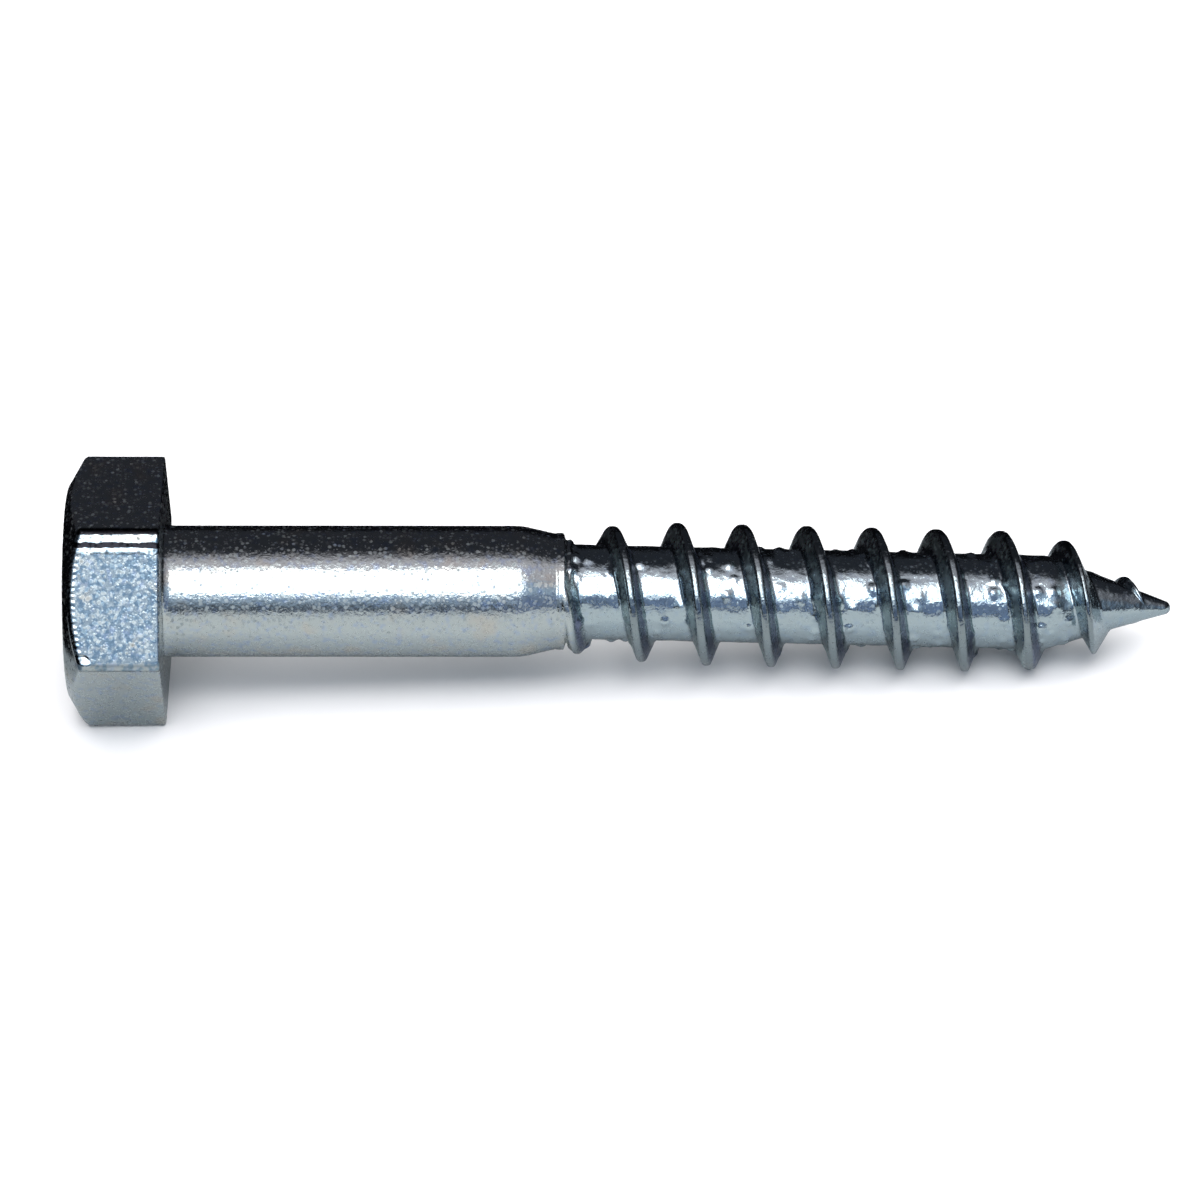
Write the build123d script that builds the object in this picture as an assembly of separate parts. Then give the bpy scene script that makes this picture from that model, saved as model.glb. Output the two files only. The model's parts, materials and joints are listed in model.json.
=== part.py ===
from build123d import *

# Hex-head lag screw: a coarse wood screw with a hexagon head, cold headed and
# thread rolled from one piece of steel wire, then zinc plated.
#
# Millimetres. The screw is modelled along its own +X axis, with the head at -X and
# the centre of the bearing face under the head at the origin. Its threaded part is
# bent down a little where the thick shank ends. The screw is then laid down as it
# rests on a flat surface: on the lower edge of the head and on one crest of the
# thread, so that the tip is lower than the head. +Z is up.

import os
from math import asin, atan2, cos, degrees, hypot, radians, sin, sqrt, tan

# Head
ACROSS_FLATS = 13.0
HEAD_HEIGHT = 5.3
CORNER_RADIUS = 0.5         # between the six flats
RIM_RADIUS = 0.12           # round the bearing face
END_FACE_DIAMETER = 11.5    # flat circle in the middle of the head's end
END_CHAMFER_ANGLE = 30.0    # of the cone round that circle, from the end face

# Shank
LENGTH = 55.8               # from the bearing face to the tip
SHANK_DIAMETER = 7.25
NECK_LENGTH = 0.5           # of the flare that joins shank and head
NECK_RADIUS = 1.0           # of that flare's arc

# Between shank and thread: a taper, a low collar and a shelf beside it
TAPER_START = 19.4
TAPER_END = 21.7
TAPER_END_DIAMETER = 6.38
TAPER_RADIUS = 6.0          # of the bend between shank and taper
COLLAR_HEIGHT = 0.06
COLLAR_WIDTH = 0.3
SHELF_DIAMETER = 5.8
SHELF_WIDTH = 0.3
STEP_WIDTH = 0.2            # of each slope between collar, shelf and root

# Thread
PITCH = 3.6
THREAD_DIAMETER = 7.87
ROOT_DIAMETER = 5.35
FLANK_ANGLE = 30.0          # of each flank from square to the axis
CREST_RADIUS = 0.2
THREAD_DIRECTION = 118.6    # of the crest at the bearing face, were it to reach so far
RUN_IN_START = 21.8         # the crest comes out of the collar just after this
RUN_IN_END = 28.2           # and has its full diameter from here
RUN_IN_DIAMETER = 6.3       # at the start of the run-in

# The slight bend where the threaded part leaves the collar
BEND_ANGLE = 1.6
BEND_PLACE = 22.4

# Gimlet point
POINT_START = 48.8          # the root tapers to the tip from here
POINT_RADIUS = 3.0          # of the bend between root and cone
TIP_RADIUS = 0.4
CREST_FALL_START = 44.9     # the crest begins to close in on the tip
CREST_FALL_END = 54.9       # and would reach the axis here
THREAD_END = 54.6

# How the thread's ridge is lofted
SECTIONS_PER_TURN = 12
RIDGE_DEPTH = 0.5           # of the ridge's foot inside the core

SCREW_AXIS = Axis.X


def head_height_at(radius):
    """Height of the end chamfer at a radius, measured from the bearing face."""
    drop = max(radius - END_FACE_DIAMETER / 2, 0) * tan(radians(END_CHAMFER_ANGLE))
    return HEAD_HEIGHT - drop


def head():
    """Hexagon with one flat up and one down, its end chamfered to a circle."""
    across = Plane(origin=(-HEAD_HEIGHT, 0, 0), x_dir=(0, 1, 0), z_dir=(1, 0, 0))
    hexagon = across * RegularPolygon(ACROSS_FLATS / sqrt(3), 6)
    prism = extrude(hexagon, HEAD_HEIGHT)
    prism = fillet(prism.edges().filter_by(Axis.X), CORNER_RADIUS)
    prism = fillet(prism.faces().sort_by(Axis.X)[-1].edges(), RIM_RADIUS)
    rim = ACROSS_FLATS
    outline = Polyline(
        (0, 0),
        (-HEAD_HEIGHT, 0),
        (-HEAD_HEIGHT, END_FACE_DIAMETER / 2),
        (-head_height_at(rim), rim),
        (0, rim),
        close=True,
    )
    turned = revolve(make_face(outline), SCREW_AXIS)
    return prism & turned


def cone_end():
    """Point where the cone of the tip meets the ball at its end."""
    centre = LENGTH - TIP_RADIUS
    run = centre - POINT_START
    rise = ROOT_DIAMETER / 2
    half_angle = atan2(rise, run) - asin(TIP_RADIUS / hypot(run, rise))
    return centre + TIP_RADIUS * sin(half_angle), TIP_RADIUS * cos(half_angle)


def shank():
    """Flared neck, plain shank, taper and collar, as one turned shape."""
    shank_radius = SHANK_DIAMETER / 2
    blank = TAPER_END_DIAMETER / 2
    collar = blank + COLLAR_HEIGHT
    collar_start = TAPER_END + STEP_WIDTH
    collar_end = collar_start + COLLAR_WIDTH
    inside_head = -HEAD_HEIGHT / 2
    inside_thread = collar_end + STEP_WIDTH
    flare = NECK_RADIUS - sqrt(NECK_RADIUS**2 - NECK_LENGTH**2)
    foot = (0, shank_radius + flare)
    neck = TangentArc((NECK_LENGTH, shank_radius), foot, tangent=(-1, 0))
    side = FilletPolyline(
        (NECK_LENGTH, shank_radius),
        (TAPER_START, shank_radius),
        (TAPER_END, blank),
        (collar_start, collar),
        (collar_end, collar),
        (inside_thread, ROOT_DIAMETER / 2),
        radius=[TAPER_RADIUS, 0.4, 0.1, 0.1],
    )
    back = Polyline(
        foot,
        (inside_head, shank_radius + flare),
        (inside_head, 0),
        (inside_thread, 0),
        (inside_thread, ROOT_DIAMETER / 2),
    )
    return revolve(make_face(neck + side + back), SCREW_AXIS)


def thread_core():
    """Shelf beside the collar, root of the thread and pointed tip, as one turned shape."""
    root = ROOT_DIAMETER / 2
    shelf = SHELF_DIAMETER / 2
    shelf_end = TAPER_END + 2 * STEP_WIDTH + COLLAR_WIDTH + SHELF_WIDTH
    inside_shank = TAPER_START
    side = FilletPolyline(
        (inside_shank, shelf),
        (shelf_end, shelf),
        (shelf_end + STEP_WIDTH, root),
        (POINT_START, root),
        cone_end(),
        radius=[0.1, 0.2, POINT_RADIUS],
    )
    ball = LENGTH - TIP_RADIUS
    on_ball = (ball + TIP_RADIUS * cos(radians(30)), TIP_RADIUS * sin(radians(30)))
    tip = ThreePointArc(cone_end(), on_ball, (LENGTH, 0))
    back = Polyline((LENGTH, 0), (inside_shank, 0), (inside_shank, shelf))
    return revolve(make_face(side + tip + back), SCREW_AXIS)


def root_radius(x):
    """Radius of the straight-sided core under the thread."""
    along = (x - POINT_START) / (LENGTH - POINT_START)
    return ROOT_DIAMETER / 2 * (1 - max(along, 0))


def crest_radius(x):
    """Radius of the thread's crest: a rising run-in, a straight run, a rounded fall."""
    full = THREAD_DIAMETER / 2
    if x < RUN_IN_END:
        start = RUN_IN_DIAMETER / 2
        along = (x - RUN_IN_START) / (RUN_IN_END - RUN_IN_START)
        return start + (full - start) * sqrt(along)
    along = (x - CREST_FALL_START) / (CREST_FALL_END - CREST_FALL_START)
    return full * (1 - max(along, 0) ** 3)


def crest_direction(x):
    """Angle of the crest about the axis, from +Y towards +Z."""
    return THREAD_DIRECTION + 360 * x / PITCH


def ridge_section(x):
    """Closed section of the ridge, in the plane through the axis and its crest.

    Three narrow facets round the crest, between flanks that run down into the core.
    """
    angle = radians(crest_direction(x))
    plane = Plane(origin=(x, 0, 0), x_dir=(1, 0, 0), z_dir=(0, -sin(angle), cos(angle)))
    top = crest_radius(x)
    foot = max(root_radius(x) - RIDGE_DEPTH, root_radius(x) / 4)
    rounding = min(CREST_RADIUS, (top - foot) / 2)
    turn = 90 - FLANK_ANGLE
    crest = []
    for facet_end in (-turn, -turn / 3, turn / 3, turn):
        side = rounding * sin(radians(facet_end))
        crest.append((side, top - rounding * (1 - cos(radians(facet_end)))))
    half_crest, shoulder = crest[-1]
    half_foot = half_crest + (shoulder - foot) * tan(radians(FLANK_ANGLE))
    outline = [(-half_foot, foot), *crest, (half_foot, foot)]
    return Wire.make_polygon([plane.from_local_coords(point) for point in outline])


def thread_turns():
    """The ridge of the thread, lofted through sections along its helix, turn by turn."""
    run = THREAD_END - RUN_IN_START
    count = round(run / PITCH * SECTIONS_PER_TURN)
    sections = [ridge_section(RUN_IN_START + run * i / count) for i in range(count + 1)]
    turns = []
    for first in range(0, count, SECTIONS_PER_TURN):
        turns.append(Solid.make_loft(sections[first : first + SECTIONS_PER_TURN + 1]))
    return turns


def bent(x, z):
    """Where a point of the straight screw's XZ plane goes when the thread is bent down."""
    angle = radians(BEND_ANGLE)
    along = x - BEND_PLACE
    return BEND_PLACE + along * cos(angle) + z * sin(angle), z * cos(angle) - along * sin(angle)


def resting_tilt():
    """Angle of the shank, tip down, when the head's rim and a crest touch the floor."""
    rim_x = -RIM_RADIUS
    rim_z = RIM_RADIUS - ACROSS_FLATS / 2
    lowest = (270 - THREAD_DIRECTION) / 360 * PITCH
    tilts = []
    while lowest < THREAD_END:
        if lowest > RUN_IN_END:
            crest_x, crest_z = bent(lowest, CREST_RADIUS - crest_radius(lowest))
            run = crest_x - rim_x
            rise = crest_z - rim_z
            rounding = asin((CREST_RADIUS - RIM_RADIUS) / hypot(run, rise))
            tilts.append(degrees(atan2(rise, run) - rounding))
        lowest += PITCH
    return min(tilts)


def lag_screw():
    """The whole screw as one solid, bent a little and laid down as it rests."""
    bend_axis = Axis((BEND_PLACE, 0, 0), (0, 1, 0))
    thread = (thread_core() + thread_turns()).rotate(bend_axis, BEND_ANGLE)
    screw = head() + shank() + thread
    return screw.rotate(Axis.Y, resting_tilt())


os.makedirs("parts", exist_ok=True)
screw = lag_screw()
screw.label = "lag_screw"
export_step(screw, "parts/lag_screw.step")
print("resting tilt", round(resting_tilt(), 3), "degrees")
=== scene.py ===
"""Zinc-plated hexagon-head lag screw, laid out as an add-on and run as a script.

Everything is in metres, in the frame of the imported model: the bearing face under the
head is centred on the origin, and the tip is towards +X.
"""

import json
import math

import bmesh
import bpy
from bpy.props import FloatProperty, FloatVectorProperty, PointerProperty
from mathutils import Matrix, Vector

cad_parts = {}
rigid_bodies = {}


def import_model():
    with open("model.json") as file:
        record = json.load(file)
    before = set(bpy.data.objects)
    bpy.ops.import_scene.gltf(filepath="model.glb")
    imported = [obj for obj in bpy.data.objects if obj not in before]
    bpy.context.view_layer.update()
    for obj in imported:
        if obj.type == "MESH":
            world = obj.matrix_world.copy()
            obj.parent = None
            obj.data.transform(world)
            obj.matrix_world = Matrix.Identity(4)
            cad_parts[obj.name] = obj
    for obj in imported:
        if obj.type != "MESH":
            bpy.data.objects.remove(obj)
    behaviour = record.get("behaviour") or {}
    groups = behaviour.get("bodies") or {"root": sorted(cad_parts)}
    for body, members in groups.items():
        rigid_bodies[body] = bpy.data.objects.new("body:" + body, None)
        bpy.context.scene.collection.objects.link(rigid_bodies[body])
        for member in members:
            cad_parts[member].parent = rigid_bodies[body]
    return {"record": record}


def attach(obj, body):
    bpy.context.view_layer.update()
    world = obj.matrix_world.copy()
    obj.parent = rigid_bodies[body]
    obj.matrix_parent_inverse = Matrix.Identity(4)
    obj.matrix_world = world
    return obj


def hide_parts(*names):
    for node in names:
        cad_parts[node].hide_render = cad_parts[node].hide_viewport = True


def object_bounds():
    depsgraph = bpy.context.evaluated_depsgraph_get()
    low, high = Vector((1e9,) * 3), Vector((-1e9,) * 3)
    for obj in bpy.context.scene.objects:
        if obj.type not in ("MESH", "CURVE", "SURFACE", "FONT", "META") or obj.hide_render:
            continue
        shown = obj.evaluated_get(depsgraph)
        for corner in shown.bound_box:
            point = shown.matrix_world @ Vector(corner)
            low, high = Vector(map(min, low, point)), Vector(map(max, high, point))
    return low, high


bl_info = {
    "name": "Lag Screw",
    "version": (1, 0, 0),
    "blender": (4, 5, 0),
    "location": "3D View > Sidebar > Lag Screw",
    "description": "Builds a zinc-plated lag screw and the small studio it lies in",
    "category": "Add Mesh",
}

for leftover in list(bpy.data.objects):
    bpy.data.objects.remove(leftover)

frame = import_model()
CAD_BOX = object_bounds()

MM = 0.001
DEGREE = math.pi / 180
TAU = 2 * math.pi
HALF_SIDE = math.pi / 6     # half of the angle that one side of a hexagon takes up
HAIR = 0.001 * MM           # places closer than this are the same

# ---- What the frame says: where the head, the shank and the tip are --------

NODE = "lag_screw"
MOUNTS = {mount["name"]: mount for mount in frame["record"]["mounts"]}
SHANK_DIAMETER = 2 * MOUNTS["shank"]["dims"]["r_mm"] * MM
HEAD_HEIGHT = Vector(MOUNTS["hex_drive"]["pos_m"]).length
TIP = Vector(MOUNTS["wood_thread"]["pos_m"])


def dip(axis):
    """How far an axis in the XZ plane points below the horizontal."""
    return math.atan2(-axis[2], axis[0])


RESTING_TILT = dip(MOUNTS["bearing_face"]["axis"])
BEND_ANGLE = dip(MOUNTS["wood_thread"]["axis"]) - RESTING_TILT
BEND_PLACE = 22.4 * MM      # along the shank's axis, from the bearing face
BEND_POINT = Vector((math.cos(RESTING_TILT), 0, -math.sin(RESTING_TILT))) * BEND_PLACE
LENGTH = BEND_PLACE + (TIP - BEND_POINT).length
FLOOR_HEIGHT = CAD_BOX[0].z


# ---- Settings that a user would change -------------------------------------


def length_property(name, description, default):
    """A length in metres, shown in the scene's units."""
    return FloatProperty(
        name=name, description=description, default=default, unit="LENGTH", precision=5
    )


def angle_property(name, description, default):
    """An angle in radians, shown in the scene's units."""
    return FloatProperty(name=name, description=description, default=default, subtype="ANGLE")


def colour_property(name, description, default):
    """A linear colour."""
    return FloatVectorProperty(
        name=name, description=description, default=default, subtype="COLOR", min=0, max=1
    )


class LagScrewSizes(bpy.types.PropertyGroup):
    """Sizes of the screw that its shape is worked out from."""

    head_height: length_property("Head Height", "From bearing face to end", HEAD_HEIGHT)
    shank_diameter: length_property("Shank Diameter", "Of the plain shank", SHANK_DIAMETER)
    length: length_property("Length", "From bearing face to tip, along the axis", LENGTH)
    across_flats: length_property("Across Flats", "Width of the head between flats", 13.0 * MM)
    corner_radius: length_property("Corner Radius", "Rounding between the flats", 0.5 * MM)
    end_face: length_property("End Face", "Diameter of the flat on the head's end", 11.5 * MM)
    rim_radius: length_property("Rim Radius", "Rounding round the bearing face", 0.12 * MM)
    edge_softness: length_property("Edge Softness", "Rounding of the end chamfer", 0.1 * MM)
    neck_length: length_property("Neck Length", "Length of the flare under the head", 0.5 * MM)
    neck_flare: length_property("Neck Flare", "How far the neck flares out", 0.134 * MM)
    taper_start: length_property("Taper Start", "Where the shank starts to narrow", 19.65 * MM)
    taper_end: length_property("Taper End", "Where the shank's taper ends", 21.5 * MM)
    blank_diameter: length_property("Blank Diameter", "Diameter at the taper's end", 6.4 * MM)
    collar_height: length_property("Collar Height", "Height of the low collar", 0.035 * MM)
    collar_width: length_property("Collar Width", "Width of the low collar", 0.3 * MM)
    shelf_diameter: length_property("Shelf Diameter", "Diameter beside the collar", 5.67 * MM)
    shelf_width: length_property("Shelf Width", "Width of the shelf by the collar", 0.15 * MM)
    step_width: length_property("Step Width", "Width of the collar's slopes", 0.15 * MM)
    pitch: length_property("Pitch", "From one crest of the thread to the next", 3.6 * MM)
    thread_diameter: length_property("Thread Diameter", "Over the thread's crests", 7.87 * MM)
    root_diameter: length_property("Root Diameter", "Of the core under the thread", 5.22 * MM)
    crest_radius: length_property("Crest Radius", "Rounding of the thread's crest", 0.18 * MM)
    crest_land: length_property("Crest Land", "Width of the flat on the thread's crest", 0.13 * MM)
    flank_angle: angle_property("Flank Angle", "Of a flank from square to the axis", 20 * DEGREE)
    thread_direction: angle_property(
        "Thread Direction", "Of the crest, were it to reach the bearing face", 118.6 * DEGREE
    )
    run_in_start: length_property("Run-in Start", "Where the thread rises", 21.8 * MM)
    run_in_end: length_property("Run-in End", "Where the thread has risen", 28.2 * MM)
    run_in_diameter: length_property("Run-in Diameter", "Crest at the run-in's start", 6.3 * MM)
    bend_place: length_property("Bend Place", "Where the thread is bent down", BEND_PLACE)
    bend_angle: angle_property("Bend Angle", "Of the thread from the shank", BEND_ANGLE)
    resting_tilt: angle_property("Resting Tilt", "Of the shank, tip down", RESTING_TILT)
    point_start: length_property("Point Start", "Where the root starts to taper", 48.8 * MM)
    tip_radius: length_property("Tip Radius", "Rounding of the tip", 0.38 * MM)
    tip_droop: length_property("Tip Droop", "How far the point is bent down", 0.17 * MM)
    crest_fall_start: length_property("Crest Fall Start", "Where crests get lower", 44.9 * MM)
    crest_fall_end: length_property("Crest Fall End", "Where crests would be gone", 54.9 * MM)


class LagScrewFinish(bpy.types.PropertyGroup):
    """Colours and textures of the zinc plating."""

    zinc: colour_property("Zinc", "Main colour of the plating", (0.43, 0.48, 0.485))
    blue_tint: colour_property("Blue Tint", "Bluish patches of the plating", (0.36, 0.43, 0.52))
    warm_tint: colour_property("Warm Tint", "Warmer patches of the plating", (0.47, 0.46, 0.42))
    thread_tint: colour_property("Thread Tint", "Bluer plating of the thread", (0.35, 0.45, 0.5))
    crest_tint: colour_property("Crest Tint", "Of the thread's crest", (0.22, 0.26, 0.275))
    # The two flank colours are painted light: the flanks towards the head are painted lighter, as
    # a painted reflection of the floor, and those towards the tip darker, as painted shade.
    near_flank: colour_property("Near Flank", "Of the flanks towards the head", (0.41, 0.49, 0.5))
    far_flank: colour_property("Far Flank", "Of the flanks towards the tip", (0.15, 0.18, 0.26))
    pit: colour_property("Pit", "Dull pits of the head's plating", (0.2, 0.29, 0.36))
    # This colour is also the painted shade along the head's top edge.
    scratch: colour_property(
        "Scratch", "Of the scratches under the head's top edge", (0.012, 0.012, 0.015)
    )
    roughness: FloatProperty(
        name="Roughness", description="Mean roughness of the plating", default=0.12, min=0, max=1
    )
    grain_size: length_property("Grain Size", "Width of the plating's grains", 0.24 * MM)
    grain_height: length_property("Grain Height", "Height of the plating's grains", 0.022 * MM)
    dot_size: length_property("Dot Size", "Width of the plating's dull dots", 0.28 * MM)
    fleck_size: length_property("Fleck Size", "Width of the plating's fine flecks", 0.17 * MM)
    dome_height: length_property("Dome Height", "Of the flecks on the head", 0.0037 * MM)
    lump_height: length_property("Lump Height", "Height of the thick plating's lumps", 0.1 * MM)


class LagScrewStudio(bpy.types.PropertyGroup):
    """The floor, the lamps and the camera."""

    floor: colour_property("Floor", "Colour of the floor", (0.93, 0.93, 0.93))
    room: colour_property("Room", "Colour of the dark room round the set", (0.035, 0.036, 0.044))
    glow_below: colour_property("Glow Below", "Light under the soft box", (0.6, 0.74, 0.94))
    glow_above: colour_property("Glow Above", "Light over the soft box", (0.86, 0.79, 0.84))
    shade: colour_property("Shade", "Of the floor beside the screw", (0.49, 0.51, 0.52))
    far_shade: colour_property("Far Shade", "Of the floor behind the screw", (0.24, 0.26, 0.27))
    front_shade: colour_property("Front Shade", "Of the floor before it", (0.59, 0.6, 0.59))
    distant_shade: colour_property("Distant Shade", "Of the floor further off", (0.16, 0.19, 0.27))
    card: colour_property("Card", "Of the card before the thread", (0.3, 0.38, 0.55))
    key_power: FloatProperty(
        name="Key Power", description="Of the soft box", default=11.5, unit="POWER"
    )
    fill_power: FloatProperty(
        name="Fill Power", description="Of the fill", default=27, unit="POWER"
    )
    fill_size: length_property("Fill Size", "Width of the fill over the floor", 2.0)
    fill_height: length_property("Fill Height", "Of the fill over the floor", 1.3)
    key_distance: length_property("Key Distance", "From the screw to the soft box", 1.5)
    key_low: angle_property("Key Low Edge", "Height of the soft box's lower edge", 29.8 * DEGREE)
    key_high: angle_property("Key High Edge", "Height of the soft box's upper edge", 71 * DEGREE)
    key_width: length_property("Key Width", "Width of the soft box", 0.75)
    azimuth: angle_property("Azimuth", "The camera's turn about the vertical", -0.77 * DEGREE)
    elevation: angle_property("Elevation", "The camera's height over the horizon", 34.378 * DEGREE)
    roll: angle_property("Roll", "The camera's turn about its own axis", -1.497 * DEGREE)
    distance: length_property("Distance", "From the camera to its target", 269.7 * MM)
    target_along: length_property("Target Along", "The camera's target along X", 23.947 * MM)
    target_height: length_property("Target Height", "The camera's target in Z", -1.572 * MM)
    lens: FloatProperty(name="Lens", description="Focal length", default=145.99, unit="CAMERA")


# ---- Node trees written as expressions -------------------------------------

MIX_AMOUNT = 0              # a Mix node's socket for its factor
MIX_COLOURS = (6, 7)        # and those for its two colours
MIXED_COLOUR = 2            # and its output for the colour that they make


class Formula:
    """A socket's value; arithmetic on it adds the tree's Math nodes."""

    def __init__(self, tree, socket):
        self.tree = tree
        self.socket = socket

    def __add__(self, other):
        return self.tree.math("ADD", self, other)

    def __sub__(self, other):
        return self.tree.math("SUBTRACT", self, other)

    def __mul__(self, other):
        return self.tree.math("MULTIPLY", self, other)

    def __truediv__(self, other):
        return self.tree.math("DIVIDE", self, other)

    def __rsub__(self, other):
        return self.tree.math("SUBTRACT", other, self)

    def __rtruediv__(self, other):
        return self.tree.math("DIVIDE", other, self)

    def __lt__(self, other):
        return self.tree.math("LESS_THAN", self, other)

    def __gt__(self, other):
        return self.tree.math("GREATER_THAN", self, other)

    __radd__ = __add__
    __rmul__ = __mul__


class Tree:
    """Adds nodes to a node tree and links them as it goes."""

    def __init__(self, node_tree):
        self.nodes = node_tree.nodes
        self.links = node_tree.links

    def node(self, kind, settings=None, sockets=None):
        """A node, with its settings made first and its sockets set or linked after."""
        node = self.nodes.new(kind)
        for name, value in (settings or {}).items():
            setattr(node, name, value)
        for name, value in (sockets or {}).items():
            if isinstance(value, Formula):
                value = value.socket
            if isinstance(value, bpy.types.NodeSocket):
                self.links.new(value, node.inputs[name])
            elif name in MIX_COLOURS or isinstance(name, str) and "Color" in name:
                node.inputs[name].default_value = (*value, 1)
            else:
                node.inputs[name].default_value = value
        return node

    def value(self, node, output=0):
        """One of a node's outputs as a Formula."""
        return Formula(self, node.outputs[output])

    def math(self, operation, *values):
        """One Math node's result."""
        node = self.node("ShaderNodeMath", {"operation": operation}, dict(enumerate(values)))
        return self.value(node)

    def sine(self, angle):
        return self.math("SINE", angle)

    def cosine(self, angle):
        return self.math("COSINE", angle)

    def root(self, value):
        """Square root, of nothing under zero."""
        return self.math("SQRT", self.math("MAXIMUM", value, 0))

    def ramp(self, value, low, high):
        """0 below low, 1 above high, and straight between."""
        sockets = {"Value": value, "From Min": low, "From Max": high}
        return self.value(self.node("ShaderNodeMapRange", {}, sockets))

    def smooth_ramp(self, value, low, high):
        """0 below low, 1 above high, and an S between."""
        sockets = {"Value": value, "From Min": low, "From Max": high}
        settings = {"interpolation_type": "SMOOTHSTEP"}
        return self.value(self.node("ShaderNodeMapRange", settings, sockets))

    def choose(self, condition, yes, no):
        """yes where the condition is 1, and no where it is 0."""
        return condition * yes + (1 - condition) * no

    def parts(self, vector):
        """The three numbers of a vector."""
        node = self.node("ShaderNodeSeparateXYZ", {}, {0: vector})
        return [self.value(node, index) for index in range(3)]

    def vector(self, x, y, z):
        """The vector that three numbers make."""
        return self.value(self.node("ShaderNodeCombineXYZ", {}, {0: x, 1: y, 2: z}))

    def mix(self, amount, first, second):
        """The first colour where amount is 0, and the second where it is 1."""
        sockets = dict(zip((MIX_AMOUNT, *MIX_COLOURS), (amount, first, second)))
        mixed = self.node("ShaderNodeMix", {"data_type": "RGBA"}, sockets)
        return self.value(mixed, MIXED_COLOUR)

    def cells(self, place, size, output="Distance"):
        """Round cells of a size, at a place: the distance to a cell's middle, in cells."""
        sockets = {"Vector": place, "Scale": 1 / size}
        return self.value(self.node("ShaderNodeTexVoronoi", {}, sockets), output)

    def noise(self, place, size, detail=2.0, roughness=0.5):
        """Noise from 0 to 1 with features of a size, at a place."""
        sockets = {"Vector": place, "Scale": 1 / size, "Detail": detail, "Roughness": roughness}
        return self.value(self.node("ShaderNodeTexNoise", {}, sockets))

    def changed(self, kind, body, sockets=None):
        """The geometry that a node makes of another."""
        return self.node(kind, {}, {0: body, **(sockets or {})}).outputs[0]

    def surface(self, kind, sockets):
        """Makes a shader the surface of the tree's material."""
        shader = self.node(kind, {}, sockets)
        self.node("ShaderNodeOutputMaterial", {}, {"Surface": shader.outputs[0]})


def new_material(name):
    """A material with nothing in it yet, and its tree."""
    material = bpy.data.materials.new(name)
    material.use_nodes = True
    tree = Tree(material.node_tree)
    tree.nodes.clear()
    return material, tree


# ---- The screw's form ------------------------------------------------------

COLUMNS = 144               # round the screw
CORNER_CROWDING = 0.8       # how much closer the columns stand at the head's corners
ROWS_PER_PITCH = 34         # along the thread
CREST_CROWDING = 0.55       # how much closer the rows stand at the crest
SPARE_TURNS = 2             # of the rows along the thread, which end at the tip
SUPPORT = 0.1 * MM          # from an edge to the row beside it, which keeps the edge crisp
BEFORE_TAPER = 0.8 * MM     # where the shank's rows come closer, before the taper
PAST_COLLAR = 1.1 * MM      # where the rows begin to follow the thread, past the collar

CHAMFER_ANGLE = 30 * DEGREE  # of the head's end, from its flat
SHOULDER_BLEND = 0.15 * MM  # between shank and taper
COLLAR_BLEND = 0.02 * MM    # between taper and collar
CONE_BLEND = 0.12 * MM      # between root and point
THREAD_BLEND = 0.04 * MM    # between the thread's root and its ridge
BEND_REACH = 0.5 * MM       # each way from the place where the screw is bent

FIRST_SPREAD = 25 * DEGREE  # how much wider the flanks are at the thread's start
LAST_SPREAD = 13 * DEGREE   # and towards its end
ROUNDING_LOSS = 0.6         # share of the crest's rounding that is gone where it ends
LAND_LOSS = 0.8             # and of its flat land

# The one crest that was knocked blunt
BLUNT_PLACE = 47.97 * MM    # along the axis
BLUNT_REACH = (0.6 * MM, 0.2 * MM)  # each way from there: where it starts, and is whole
BLUNT_DROP = 0.07 * MM      # how much lower the crest is
BLUNT_ROUNDING = 0.25 * MM  # and how much rounder


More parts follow.
